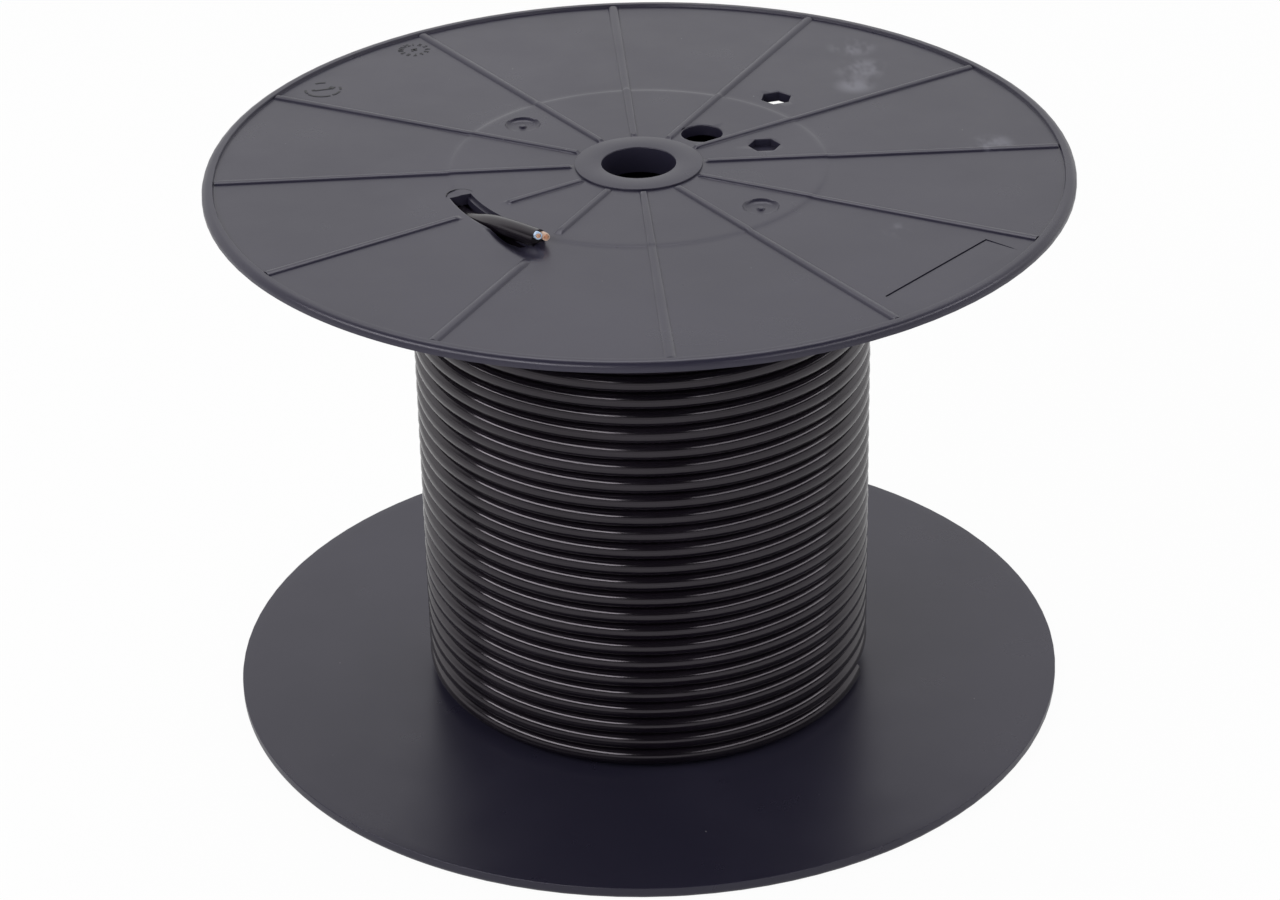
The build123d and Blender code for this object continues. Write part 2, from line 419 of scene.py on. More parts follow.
def hollow_depth(reach, angle):
    """Depth of the soft hollow that runs out of the slot beside the cable's end."""
    turn = (angle + 180) % 360 - 180
    width = 2.0 + HOLLOW_WIDENING * min(max((turn + 138) / 20, 0.0), 1.0)
    across = smooth_step(reach, HOLLOW_OUTER + 0.5 + width, HOLLOW_OUTER + 0.1 * width)
    inner_side = HOLLOW_INNER + 6.0 * smooth_step(turn, -142.0, -128.0)
    across *= smooth_step(reach, inner_side, inner_side + HOLLOW_WALL)
    end = HOLLOW_TO + HOLLOW_SKEW * smooth_step(reach, HOLLOW_OUTER, HOLLOW_OUTER + 10.0)
    along = smooth_step(turn, HOLLOW_FROM, HOLLOW_FULL) * smooth_step(turn, end, end - HOLLOW_RAMP)
    return HOLLOW_DEPTH * across * along


def plate_height(reach):
    """Height of the outer face without its ribs: a low disc in the middle."""
    rise = smooth_step(reach, disc_radius + DISC_STEP_HALF, disc_radius - DISC_STEP_HALF)
    return plate_top + (disc_top - plate_top) * rise


# %% [markdown]
# The rest of a flange is turned: the rim, the inner face, a ring and a boss that reach into
# the ends of the tube, the bore and the collar. Its corners are rounded as points.

# %% The flange's profile
def rounded(points, steps=3):
    """A line of (reach, height, radius) corners turned to points with arcs at the corners."""
    out = []
    for i, (x, z, radius) in enumerate(points):
        here = Vector((x, z))
        if radius == 0 or i in (0, len(points) - 1):
            out.append((x, z))
            continue
        before = (Vector(points[i - 1][:2]) - here).normalized()
        after = (Vector(points[i + 1][:2]) - here).normalized()
        half = before.angle(after) / 2
        reach = radius / math.tan(half)
        start, end = here + before * reach, here + after * reach
        middle = here + (before + after).normalized() * (radius / math.sin(half))
        for k in range(steps + 1):
            spoke = (start - middle).lerp(end - middle, k / steps).normalized()
            out.append(tuple(middle + spoke * radius))
    return out


# %% Rings and corners of a flange
# Distances of the outer face's rings from the axis, crowded where its height changes.
FACE_RINGS = [
    collar_radius, 26.3, 27.0, 27.9, 30, 35, 41, 48, 54, 58, 60.8, 61.6, 62.4, 63.2, 66, 69.5,
    70.9, 71.7, 72.6, 74, 75.2, 75.6, 76.0, 76.4, 76.8, 78.5, 80, 81, 82, 83, 84, 85, 86, 87.5,
    89, 90.5, 92, 93, 94, 96, 99, 104, 111, 120, 130, 140, 150, 159, 165, 167.4, 168.4, 169.2,
    169.8,
]
# The rim's outer edge is a wide quarter round. Below it the upper flange is bevelled, and
# the lower flange, which lies the other way up, keeps a crisp edge there.
RIM_ROUNDING = 2.7
BEVEL_START = 1.7
BEVEL_REACH = 171.9
RIM_STEPS = 6
RIM_TOP = [
    (rim_inner_radius, plate_top, 0), (170.2, plate_top, 0.15), (170.6, rim_top, 0.3),
    (flange_radius, rim_top, RIM_ROUNDING),
]
BEVELLED = [(flange_radius, BEVEL_START, 0.1), (BEVEL_REACH, 0.0, 0.4), (rim_inner_radius, 0.0, 0)]
CRISP = [(flange_radius, 0.0, 0.35), (rim_inner_radius, 0.0, 0)]
RIMS = {"upper": rounded(RIM_TOP + BEVELLED, RIM_STEPS), "lower": rounded(RIM_TOP + CRISP, RIM_STEPS)}
RING_OUTER = 67.8
RING_INNER = 65.2
RING_DEPTH = 8.0
BOSS_RADIUS = 22.0
BOSS_DEPTH = 6.0
INSIDE = rounded([
    (140.0, 0.0, 0), (100.0, 0.0, 0), (RING_OUTER, 0.0, 0.3), (RING_OUTER, -RING_DEPTH, 0.4),
    (RING_INNER, -RING_DEPTH, 0.4), (RING_INNER, 0.0, 0.3), (BOSS_RADIUS, 0.0, 0.3),
    (BOSS_RADIUS, -BOSS_DEPTH, 0.5), (bore_radius, -BOSS_DEPTH, 0.5),
    (bore_radius, collar_top, 0.45), (collar_radius, collar_top, 0.25), (collar_radius, disc_top, 0),
])


def flange_rings(rim):
    """Every ring of the flange in order, as points with the inner face at height zero."""
    rings = []
    for reach in FACE_RINGS:
        ring = []
        for angle, rib, share in ring_angles(reach):
            height = plate_height(reach) + rib_rise(reach, rib, share)
            height = min(height, rim_top - RIB_BELOW_RIM) - hollow_depth(reach, angle)
            ring.append((*polar(reach, angle), height))
        rings.append(ring)
    for reach, height in rim + INSIDE:
        rings.append([(*polar(reach, angle), height) for angle, _, _ in ring_angles(reach)])
    return rings


print("a flange has", len(FACE_RINGS) + len(RIMS["upper"]) + len(INSIDE), "rings")

# %% [markdown]
# The holes are cut with shapes that flare at the top, so that each hole has the soft edge
# of a moulding. The slot's cutter is drawn section by section, with a step beside the
# tube. The soft hollow at its end is already in the face's own heights. The label's panel is
# pressed in along two of its sides, and a fine groove follows each of them.

# %% Cutters for the holes
BELOW_ALL = -9.0
ABOVE_ALL = 9.0


def lathe(profile, place, segments=48, turn=0):
    """Points and faces of a turned, closed shape; with six segments it is six-sided."""
    points = []
    for radius, height in profile:
        for i in range(segments):
            x, y = polar(radius, turn + 360 * i / segments)
            points.append((place[0] + x, place[1] + y, height))
    return points, capped_faces(len(profile), segments)


def flared(radius, top, bottom, soft):
    """A straight hole's profile that opens out at the outer face."""
    return [
        (radius, bottom), (radius, top - soft), (radius + 0.13 * soft, top - 0.5 * soft),
        (radius + 0.5 * soft, top - 0.13 * soft), (radius + soft, top), (radius + soft, top + 3),
    ]


# The dished gate mark: a radius and a height above the disc for each ring.
DISH = [
    (0.5, -0.55), (1.1, -0.6), (1.45, -0.95), (1.8, -1.35), (4.0, -1.4), (5.6, -1.25),
    (6.6, -0.85), (7.1, -0.35), (7.35, 0.0), (7.5, 0.4), (7.6, 2.0),
]

# %% The slot's cutter
# The slot's directions in degrees and the distance of its outer side from the axis.
SLOT_FROM = -163.0
SLOT_TO = -125.5
SLOT_OUTER = 79.5
SLOT_STEPS = 26


def slot_cutter():
    """The starting slot: a stepped inner side beside the tube, and a plain outer side."""
    points = []
    for i in range(SLOT_STEPS + 1):
        share = i / SLOT_STEPS
        angle = SLOT_FROM + (SLOT_TO - SLOT_FROM) * share
        outer = SLOT_OUTER + 2.0 * share
        inner = barrel_radius + 6.2 * smooth_step(angle, -144.0, -126.0)
        section = [
            (inner + 1.5, BELOW_ALL), (inner + 1.5, plate_top - 1.2),
            (inner + 0.1, plate_top - 1.1), (inner, ABOVE_ALL),
            (outer + 0.8, ABOVE_ALL), (outer + 0.8, plate_top + 0.05),
            (outer + 0.3, plate_top - 0.15), (outer + 0.05, plate_top - 0.7), (outer, BELOW_ALL),
        ]
        points += [(*polar(reach, angle), height) for reach, height in section]
    return points, capped_faces(SLOT_STEPS + 1, len(section))


# %% The label's panel
LABEL_ANGLE = -45
LABEL_MIDDLE = polar(156.5, LABEL_ANGLE)
LABEL_TURN = Matrix.Rotation(math.radians(-LABEL_ANGLE), 2)
LABEL_HALF_LENGTH = 31.5
LABEL_HALF_WIDTH = 7.3


def on_label(along, out, height):
    """A point of the panel, given along it and outwards from its middle."""
    spot = LABEL_TURN @ Vector((along, -out))
    return LABEL_MIDDLE[0] + spot.x, LABEL_MIDDLE[1] + spot.y, height


def label_cutter():
    """A panel that is pressed in along one long side and one short side."""
    corners = [
        (-LABEL_HALF_LENGTH, -LABEL_HALF_WIDTH, 0.32), (LABEL_HALF_LENGTH, -LABEL_HALF_WIDTH, 0.32),
        (LABEL_HALF_LENGTH, LABEL_HALF_WIDTH, 0.02), (-LABEL_HALF_LENGTH, LABEL_HALF_WIDTH, -0.02),
    ]
    points = [on_label(along, out, plate_top - depth) for along, out, depth in corners]
    points += [(x, y, plate_top + 2) for x, y, _ in points]
    return points, capped_faces(2, 4)


def label_line(start, end, width, depth):
    """A fine groove along one side of the label's panel."""
    start, end = Vector(start), Vector(end)
    side = (end - start).orthogonal().normalized() * width / 2
    corners = (start - side, end - side, end + side, start + side)
    points = []
    for height in (plate_top - depth, plate_top + 2):
        points += [on_label(corner.x, corner.y, height) for corner in corners]
    return points, capped_faces(2, 4)


# %% All cutters
DRIVE_HOLE_RADIUS = 8.4
HEX_RADIUS = 6.6
HEX_DEPTH = 3
drive_hole = flared(DRIVE_HOLE_RADIUS, disc_top, BELOW_ALL, 0.5)
open_hex = flared(HEX_RADIUS, plate_top, BELOW_ALL, 0.35)
blind_hex = flared(HEX_RADIUS, disc_top, disc_top - HEX_DEPTH, 0.35)
dish = [(radius, disc_top + height) for radius, height in DISH]
CUTTERS = {
    "drive_hole": lathe(drive_hole, polar(39.3, 45)),
    "open_hex": lathe(open_hex, polar(87.3, 45), 6, 15),
    "blind_hex": lathe(blind_hex, polar(53.7, 14.5), 6),
    "slot": slot_cutter(),
    "label": label_cutter(),
    "label_long_line": label_line((-31.5, -7.4), (31.6, -7.4), 0.5, 0.9),
    "label_short_line": label_line((31.5, -7.4), (31.5, 5.5), 0.35, 0.6),
}
for number, angle in enumerate((-45, 135)):
    CUTTERS[f"gate_dish_{number}"] = lathe(dish, polar(63.5, angle), 40)
print("shapes to cut away:", sorted(CUTTERS))

# %% [markdown]
# Both flanges come from the same moulding. Each is made, cut and welded, and then put in its
# place, the lower one turned over about a line at 45 degrees, so that its holes lie under
# those of the upper one.

# %% Build both flanges
def cut_away(piece, points, faces):
    """Cuts one shape out of a piece and removes the shape."""
    tool = make_piece("cutter", points, faces, piece.data.materials[0])
    step = piece.modifiers.new("cut", "BOOLEAN")
    step.operation = "DIFFERENCE"
    step.solver = "EXACT"
    step.object = tool
    graph = bpy.context.evaluated_depsgraph_get()
    mesh = bpy.data.meshes.new_from_object(piece.evaluated_get(graph))
    piece.modifiers.clear()
    piece.data = mesh
    bpy.data.objects.remove(tool)


def build_flange(name, material, rim):
    """One flange in its own place, inner face at height zero, outer face up."""
    rings = flange_rings(rim)
    points = [point for ring in rings for point in ring]
    piece = make_piece(name, points, ring_faces(len(rings), len(rings[0]), closed=True), material)
    for shape in CUTTERS.values():
        cut_away(piece, *shape)
    tidy_mesh(piece.data, 32)
    return piece


upper_flange = build_flange("upper_flange", upper_plastic, RIMS["upper"])
lower_flange = build_flange("lower_flange", lower_plastic, RIMS["lower"])
upper_flange.data.transform(Matrix.Translation((0, 0, upper_face * MM)))
turn_over = Matrix.Rotation(math.pi, 4, Vector((1, 1, 0)))
lower_flange.data.transform(Matrix.Translation((0, 0, lower_face * MM)) @ turn_over)
for flange, node in ((upper_flange, "flange_top"), (lower_flange, "flange_bottom")):
    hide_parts(node)
    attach(flange, "root")
    print(flange.name, "has", sum(len(p.vertices) - 2 for p in flange.data.polygons), "triangles")

# %% [markdown]
# A mould carries a date dial: a ring of small plain figures with a pointer. Beside it lies
# a round mark, a broken ring with a bar across it, and a fine arc lies at the slot's start.
# The figures are set as text and turned to meshes, and the other marks are flat bars.

# %% Helpers for the small moulded marks
MARK_BASE = upper_face + plate_top
# The marks are moulded in the drum's own plastic; their much darker colour is painted shade, for the
# shade along the small raised marks.
marks_painted_shade = tinted("marks_painted_shade", (0.006, 0.006, 0.010), (0.014, 0.013, 0.020), 0.5)


def flat_bar(corners, base, top):
    """Points and faces of a flat bar with a given outline."""
    points = [(x, y, base) for x, y in corners] + [(x, y, top) for x, y in corners]
    return points, capped_faces(2, len(corners))


def arc_outline(centre, radius, width, start, end):
    """The outline of a piece of a ring."""
    angles = [start + (end - start) * i / 8 for i in range(9)]
    outer = [polar(radius + width / 2, a) for a in angles]
    inner = [polar(radius - width / 2, a) for a in reversed(angles)]
    return [(centre[0] + x, centre[1] + y) for x, y in outer + inner]


def bar_outline(centre, length, width, turn):
    """The outline of a straight bar that lies in a direction in degrees."""
    ahead = Vector(polar(length / 2, turn))
    side = Vector(polar(width / 2, turn + 90))
    near, far = Vector(centre) - ahead, Vector(centre) + ahead
    return [tuple(corner) for corner in (near - side, far - side, far + side, near + side)]


def figure_mesh(label, size, place, turn):
    """A raised plain figure on the upper flange."""
    curve = bpy.data.curves.new("figure", "FONT")
    curve.body = label
    curve.size = size * MM
    curve.extrude = 0.12 * MM
    curve.offset = 0.12 * MM
    curve.resolution_u = 3
    curve.align_x, curve.align_y = "CENTER", "CENTER"
    holder = bpy.data.objects.new("figure", curve)
    bpy.context.scene.collection.objects.link(holder)
    graph = bpy.context.evaluated_depsgraph_get()
    mesh = bpy.data.meshes.new_from_object(holder.evaluated_get(graph))
    bpy.data.objects.remove(holder)
    spot = Vector((*place, MARK_BASE)) * MM
    mesh.transform(Matrix.Translation(spot) @ Matrix.Rotation(math.radians(turn), 4, "Z"))
    return mesh


# %% Small moulded marks
DIAL_ANGLE = 124.1
DIAL_MIDDLE = polar(158.3, DIAL_ANGLE)
FIGURE_SIZE = 3.0
FIGURE_REACH = 5.7
RING_ANGLE = 144.4
RING_MIDDLE = polar(157.0, RING_ANGLE)
ARC_MIDDLE = polar(75.3, -163.3)
# A mark whose outline starts nearer to the axis than this crosses the step of the disc, so
# it rises from the disc's height.
INNER_MARKS = 90.0
MARK_ROOT = 0.3
MARK_RISE = 0.14
DISC_MARK_RISE = disc_top - plate_top + 0.04
mark_meshes = []
for number in range(1, 13):
    angle = DIAL_ANGLE - 30 * number
    x, y = polar(FIGURE_REACH, angle)
    place = (DIAL_MIDDLE[0] + x, DIAL_MIDDLE[1] + y)
    mark_meshes.append(figure_mesh(str(number), FIGURE_SIZE, place, angle - 90))
outlines = []
for start, end in ((-62, -28), (36, 62), (70, 150), (160, 196), (212, 232)):
    outlines.append(arc_outline(RING_MIDDLE, 7.4, 1.0, RING_ANGLE + start, RING_ANGLE + end))
outlines.append(arc_outline(ARC_MIDDLE, 5.6, 0.3, -178.0, -330.0))
outlines.append(bar_outline(DIAL_MIDDLE, 3.6, 0.9, 62.0))
outlines.append(bar_outline(DIAL_MIDDLE, 1.2, 2.6, 62.0))
outlines.append(bar_outline(RING_MIDDLE, 7.0, 1.0, 12.0))
outlines.append(bar_outline((RING_MIDDLE[0] + 3.6, RING_MIDDLE[1] + 1.6), 2.4, 2.4, 60.0))
outlines.append(bar_outline((RING_MIDDLE[0] - 4.0, RING_MIDDLE[1] - 0.2), 1.4, 1.4, 20.0))
for outline in outlines:
    on_disc = Vector(outline[0]).length < INNER_MARKS
    top = MARK_BASE + (DISC_MARK_RISE if on_disc else MARK_RISE)
    bar = make_piece("bar", *flat_bar(outline, MARK_BASE - MARK_ROOT, top), marks_painted_shade)
    mark_meshes.append(bar.data)
    bpy.data.objects.remove(bar)
marks = join_meshes("moulded_marks", mark_meshes, marks_painted_shade)
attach(marks, "root")
print("marks:", len(mark_meshes))

# %% [markdown]
# ## The wound cable
# The outer layer is one helix of round cable, so a node tree makes it: a spiral curve, a
# little unevenness, and a round section along it. The hidden layers are only seen through
# the slot and the open hexagon, so they are rings at both ends around a plain dark sleeve.

# %% Node tree for turns of cable
def turns_tree():
    """A node group: turns of cable at a radius, from a start height, with a pitch."""
    tree = bpy.data.node_groups.new("turns_of_cable", "GeometryNodeTree")
    sockets = tree.interface
    sockets.new_socket("Geometry", in_out="OUTPUT", socket_type="NodeSocketGeometry")
    for label, kind in (
        ("Turns", "NodeSocketFloat"), ("Radius", "NodeSocketFloat"), ("Start", "NodeSocketFloat"),
        ("Height", "NodeSocketFloat"), ("Turned", "NodeSocketFloat"), ("Thickness", "NodeSocketFloat"),
        ("Unevenness", "NodeSocketFloat"), ("Finish", "NodeSocketMaterial"),
    ):
        sockets.new_socket(label, in_out="INPUT", socket_type=kind)
    nodes, links = tree.nodes, tree.links
    given = nodes.new("NodeGroupInput").outputs
    # a spiral of even radius
    spiral = nodes.new("GeometryNodeCurveSpiral")
    spiral.inputs["Resolution"].default_value = 96
    links.new(given["Turns"], spiral.inputs["Rotations"])
    links.new(given["Radius"], spiral.inputs["Start Radius"])
    links.new(given["Radius"], spiral.inputs["End Radius"])
    links.new(given["Height"], spiral.inputs["Height"])
    # its start height and its start direction
    place = nodes.new("GeometryNodeTransform")
    lift = nodes.new("ShaderNodeCombineXYZ")
    swing = nodes.new("ShaderNodeCombineXYZ")
    links.new(given["Start"], lift.inputs["Z"])
    links.new(given["Turned"], swing.inputs["Z"])
    links.new(lift.outputs[0], place.inputs["Translation"])
    links.new(swing.outputs[0], place.inputs["Rotation"])
    links.new(spiral.outputs["Curve"], place.inputs["Geometry"])
    # a little unevenness, as on any wound cable
    wander = nodes.new("ShaderNodeTexNoise")
    wander.inputs["Scale"].default_value = 14
    wander.inputs["Detail"].default_value = 2
    centred = nodes.new("ShaderNodeVectorMath")
    centred.operation = "SUBTRACT"
    centred.inputs[1].default_value = (0.5, 0.5, 0.5)
    links.new(wander.outputs["Color"], centred.inputs[0])
    sized = nodes.new("ShaderNodeVectorMath")
    sized.operation = "SCALE"
    links.new(centred.outputs[0], sized.inputs[0])
    links.new(given["Unevenness"], sized.inputs["Scale"])
    shift = nodes.new("GeometryNodeSetPosition")
    links.new(place.outputs[0], shift.inputs["Geometry"])
    links.new(sized.outputs[0], shift.inputs["Offset"])
    # a round section along it
    section = nodes.new("GeometryNodeCurvePrimitiveCircle")
    section.inputs["Resolution"].default_value = 16
    links.new(given["Thickness"], section.inputs["Radius"])
    tube = nodes.new("GeometryNodeCurveToMesh")
    tube.inputs["Fill Caps"].default_value = True
    links.new(shift.outputs[0], tube.inputs["Curve"])
    links.new(section.outputs["Curve"], tube.inputs["Profile Curve"])
    real = nodes.new("GeometryNodeRealizeInstances")
    links.new(tube.outputs[0], real.inputs[0])
    finish = nodes.new("GeometryNodeSetMaterial")
    links.new(real.outputs[0], finish.inputs["Geometry"])
    links.new(given["Finish"], finish.inputs["Material"])
    result = nodes.new("NodeGroupOutput")
    links.new(finish.outputs[0], result.inputs[0])
    return tree


# %% [markdown]
# The tree runs on an empty mesh, and what it makes is kept as a plain mesh. The outer layer
# winds up from one flange to the other, and each ring of a hidden layer is one short turn.

# %% Make the turns
TURNS_TREE = turns_tree()


def cable_turns(name, **given):
    """A plain mesh of turns, with the tree's own inputs in metres, turns and radians."""
    holder = bpy.data.objects.new(name, bpy.data.meshes.new(name))
    bpy.context.scene.collection.objects.link(holder)
    step = holder.modifiers.new("turns", "NODES")
    step.node_group = TURNS_TREE
    for item in TURNS_TREE.interface.items_tree:
        if item.in_out == "INPUT":
            step[item.identifier] = given[item.name]
    graph = bpy.context.evaluated_depsgraph_get()
    mesh = bpy.data.meshes.new_from_object(holder.evaluated_get(graph))
    bpy.data.objects.remove(holder)
    mesh.name = name
    return mesh


def turns_at(name, radius, start, turns, height, turned, thickness=cable_radius, uneven=0.25):
    """Turns whose sizes are given in millimetres and degrees."""
    return cable_turns(
        name, Turns=float(turns), Radius=radius * MM, Start=start * MM, Height=height * MM,
        Turned=math.radians(turned), Thickness=thickness * MM, Unevenness=uneven * MM, Finish=jacket,
    )


# %% Wind the drum
FIRST_LAYER = 74.85
SECOND_LAYER = 82.5
OUTER_LAYER = winding_radius - cable_radius
SLEEVE_RADIUS = 88.0
ONE_TURN = 0.995
lowest = lower_face + cable_radius
highest = upper_face - cable_radius
meshes = [turns_at("outer_layer", OUTER_LAYER, lowest, turn_count - 1, highest - lowest, -20)]
for layer in (FIRST_LAYER, SECOND_LAYER):
    meshes.append(turns_at("low_ring", layer, lowest, ONE_TURN, 0.0, 30))
meshes.append(turns_at("second_layer_end", SECOND_LAYER, highest, ONE_TURN, 0.0, 60))
meshes.append(turns_at("first_layer_end", FIRST_LAYER, highest - 1, 0.8, 0.0, -110))
next_height = highest - 2 * cable_radius
meshes.append(turns_at("first_layer_next", FIRST_LAYER, next_height, ONE_TURN, 0.0, 60))
sleeve_ends = [(SLEEVE_RADIUS, lowest), (SLEEVE_RADIUS, upper_face - 3 * cable_radius)]
sleeve = make_piece("sleeve", *lathe(sleeve_ends, (0, 0), 72), jacket)
meshes.append(sleeve.data)
winding = join_meshes("cable_turns", meshes, jacket)
bpy.data.objects.remove(sleeve)
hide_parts("cable_winding")
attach(winding, "root")
print("winding has", sum(len(p.vertices) - 2 for p in winding.data.polygons), "triangles")

# %% [markdown]
# The tube between the flanges is hidden by the cable. Its solid stays as it is, and only
# takes the drum's plastic.

# %% The tube
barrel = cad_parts["barrel"]
barrel.data.materials.clear()
barrel.data.materials.append(lower_plastic)
print("tube has", len(barrel.data.polygons), "faces")

# %% [markdown]
# ## The tail of the cable
# The inner end of the cable leaves the first layer, climbs through the slot and ends in a
# clean cut. Its line is a smooth curve through listed points, and the jacket is a
# tube that follows the points read from that curve.

# %% The tail's line
# Distance beyond the tube, direction in degrees and height above the upper inner face.
TAIL_ROUTE = [
    (4.2, -172.0, -4.7),
    (4.6, -162.0, -4.0),
    (5.0, -152.0, -1.2),
    (4.8, -142.5, 2.9),
    (6.9, -132.0, 5.3),
    (10.0, -122.3, 6.2),
]


def smooth_line(name, points):
    """Points read from a smooth curve through control points in metres."""
    curve = bpy.data.curves.new(name, "CURVE")
    curve.dimensions = "3D"
    spline = curve.splines.new("NURBS")
    spline.points.add(len(points) - 1)
    for point, place in zip(spline.points, points):
        point.co = (*place, 1.0)
    spline.order_u = 3
    spline.use_endpoint_u = True
    spline.resolution_u = 10
    holder = bpy.data.objects.new(name, curve)
    bpy.context.scene.collection.objects.link(holder)
    graph = bpy.context.evaluated_depsgraph_get()
    mesh = bpy.data.meshes.new_from_object(holder.evaluated_get(graph))
    line = [vertex.co.copy() for vertex in mesh.vertices]
    bpy.data.objects.remove(holder)
    return line


tail_points = []
for offset, angle, rise in TAIL_ROUTE:
    tail_points.append(Vector((*polar(barrel_radius + offset, angle), upper_face + rise)) * MM)
tail_line = smooth_line("tail_line", tail_points)

# %% [markdown]
# The jacket is a round section set square to the line at each of its points. Its last rings
# draw in, so that the cut end has a small rounded edge and a flat, slightly sunk face.

# %% The tail's jacket
def frames_along(line, start_side):
    """At each point of a line: its place, its direction and two sideways directions."""
    out, side = [], start_side
    for i, place in enumerate(line):
        ahead = (line[min(i + 1, len(line) - 1)] - line[max(i - 1, 0)]).normalized()
        side = (side - ahead * side.dot(ahead)).normalized()
        out.append((place, ahead, side, ahead.cross(side)))
    return out


SECTION_SIDES = 28
# The cut end's rings: a share of the jacket's radius, and how far each stands out.
CUT_END = [(0.96, 0.12), (0.86, 0.16), (0.80, -0.1), (0.78, -0.5)]


def section_ring(frame_here, radius, out=0.0):
    """A ring of points around the tail's line, in millimetres."""
    place, ahead, side, other = frame_here
    ring = []
    for i in range(SECTION_SIDES):
        x, y = polar(radius, 360 * i / SECTION_SIDES)
        ring.append(tuple((place + (side * x + other * y + ahead * out) * MM) / MM))
    return ring


tail_frames = frames_along(tail_line, Vector((0, 0, 1)))
rings = [section_ring(frame_here, cable_radius) for frame_here in tail_frames]
for share, out in CUT_END:
    rings.append(section_ring(tail_frames[-1], cable_radius * share, out))
points = [point for ring in rings for point in ring]
tail = make_piece("tail_jacket", points, capped_faces(len(rings), SECTION_SIDES), jacket)
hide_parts("cable_tail")
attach(tail, "root")
print("jacket has", len(rings), "rings")

# %% [markdown]
# Two cores stand out of the cut, side by side and a little rolled. Outside the jacket they
# bend to one side. Each holds a bundle of copper strands of slightly different lengths.

# %% Where the cores stand
CORE_RADIUS = 1.5
CORE_ACROSS = 1.5
CORE_ROLL = -20.0
CORE_REACH = 3.4
CORE_LIFT = 1.5
CORE_BEND = 5.0
CORE_BORE = 0.88
STRAND_RADIUS = 0.18
STRAND_SPACING = 2.05
end_place, end_ahead = tail_frames[-1][:2]
level = Vector((0, 0, 1)).cross(end_ahead).normalized()
pair = (Matrix.Rotation(math.radians(CORE_ROLL), 3, end_ahead) @ level).normalized()
pair_up = end_ahead.cross(pair)
# The way to which the cores bend, square to the cable's end.
lean = Vector((*polar(1.0, -100.0), 0.35))
lean = (lean - end_ahead * lean.dot(end_ahead)).normalized()


def end_point(across, up, out):
    """A point on the cores in millimetres; outside the jacket they bend to one side."""
    spot = pair * across + pair_up * (up + CORE_LIFT)
    if out <= 0:
        return tuple(end_place / MM + spot + end_ahead * out)
    bend = out / CORE_BEND
    turn = Matrix.Rotation(bend, 3, end_ahead.cross(lean))
    line = (end_ahead * math.sin(bend) + lean * (1 - math.cos(bend))) * CORE_BEND
    return tuple(end_place / MM + turn @ spot + line)


def end_rod(across, up, profile, sides):
    """A small round rod that stands out of the cut end, as points and faces."""
    points = []
    for radius, out in profile:
        for i in range(sides):
            x, y = polar(radius, 360 * i / sides)
            points.append(end_point(across + x, up + y, out))
    return points, capped_faces(len(profile), sides)


def strand_places():
    """Places of the strands in one conductor: one in the middle and two rings."""
    places = [(0.0, 0.0)]
    for ring in (1, 2):
        for i in range(6 * ring):
            turn = 360 * i / (6 * ring) + 7 * ring
            places.append(polar(STRAND_SPACING * ring * STRAND_RADIUS, turn))
    return places


# %% The two cores and their copper strands
WALL = [
    (CORE_RADIUS, -3.0), (CORE_RADIUS, 0.0), (CORE_RADIUS, 0.3 * CORE_REACH),
    (CORE_RADIUS, 0.65 * CORE_REACH), (CORE_RADIUS, CORE_REACH - 0.15),
    (CORE_RADIUS - 0.12, CORE_REACH), (0.95, CORE_REACH), (CORE_BORE, CORE_REACH - 0.1),
    (CORE_BORE, CORE_REACH - 0.8),
]
random.seed(5)
for sign, colour, insulation in ((-1, "blue", blue_insulation), (1, "brown", brown_insulation)):
    across = sign * CORE_ACROSS
    core = make_piece(f"core_{colour}_insulation", *end_rod(across, 0.0, WALL, 24), insulation)
    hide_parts(f"core_{colour}")
    points, faces = [], []
    for x, y in strand_places():
        reach = CORE_REACH + 0.25 + 0.25 * random.random()
        strand = [
            (STRAND_RADIUS, CORE_REACH - 1.4), (STRAND_RADIUS, reach - 0.05),
            (0.7 * STRAND_RADIUS, reach),
        ]
        rod_points, rod_faces = end_rod(across + x, y, strand, 8)
        faces += [tuple(len(points) + i for i in face) for face in rod_faces]
        points += rod_points
    strands = make_piece(f"strands_{colour}", points, faces, copper)
    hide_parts(f"conductor_{colour}")
    for piece in (core, strands):
        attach(piece, "root")

# %% [markdown]
# ## The stage
# The drum stands on white cloth that rises behind it, and the rest of the room is dark.
# The floor is a plane that the camera sees as white, with the drum's shadow on it.

# %% Helper for what the camera sees
CAMERA_AZIMUTH = -3.3


def seen_directly(tree, path):
    """1 for rays that come straight from the camera and 0 for all others."""
    return maths(tree, "MAXIMUM", path.outputs["Is Camera Ray"], path.outputs["Is Transmission Ray"])


# %% Floor
FLOOR_SEEN_WHITE = 0.96
FLOOR_REFLECTED_WHITE = 0.32
FLOOR_REACH = 6000.0
FLOOR_HEIGHT = -0.05


def stage_material():
    """A pale floor that the camera sees as white, with the object's shadow on it."""
    material = bpy.data.materials.new("stage_floor")
    material.use_nodes = True
    tree = material.node_tree
    tree.nodes.clear()
    output = tree.nodes.new("ShaderNodeOutputMaterial")
    mix = tree.nodes.new("ShaderNodeMixShader")
    cloth = tree.nodes.new("ShaderNodeBsdfDiffuse")
    cloth.inputs["Color"].default_value = (0.82, 0.82, 0.82, 1.0)
    white = tree.nodes.new("ShaderNodeEmission")
    path = tree.nodes.new("ShaderNodeLightPath")
    seen = maths(tree, "MULTIPLY", seen_directly(tree, path), FLOOR_SEEN_WHITE)
    reflected = maths(tree, "MULTIPLY", path.outputs["Is Glossy Ray"], FLOOR_REFLECTED_WHITE)
    share = maths(tree, "MAXIMUM", seen, reflected)
    tree.links.new(share, mix.inputs[0])
    tree.links.new(cloth.outputs[0], mix.inputs[1])
    tree.links.new(white.outputs[0], mix.inputs[2])
    tree.links.new(mix.outputs[0], output.inputs["Surface"])
    return material


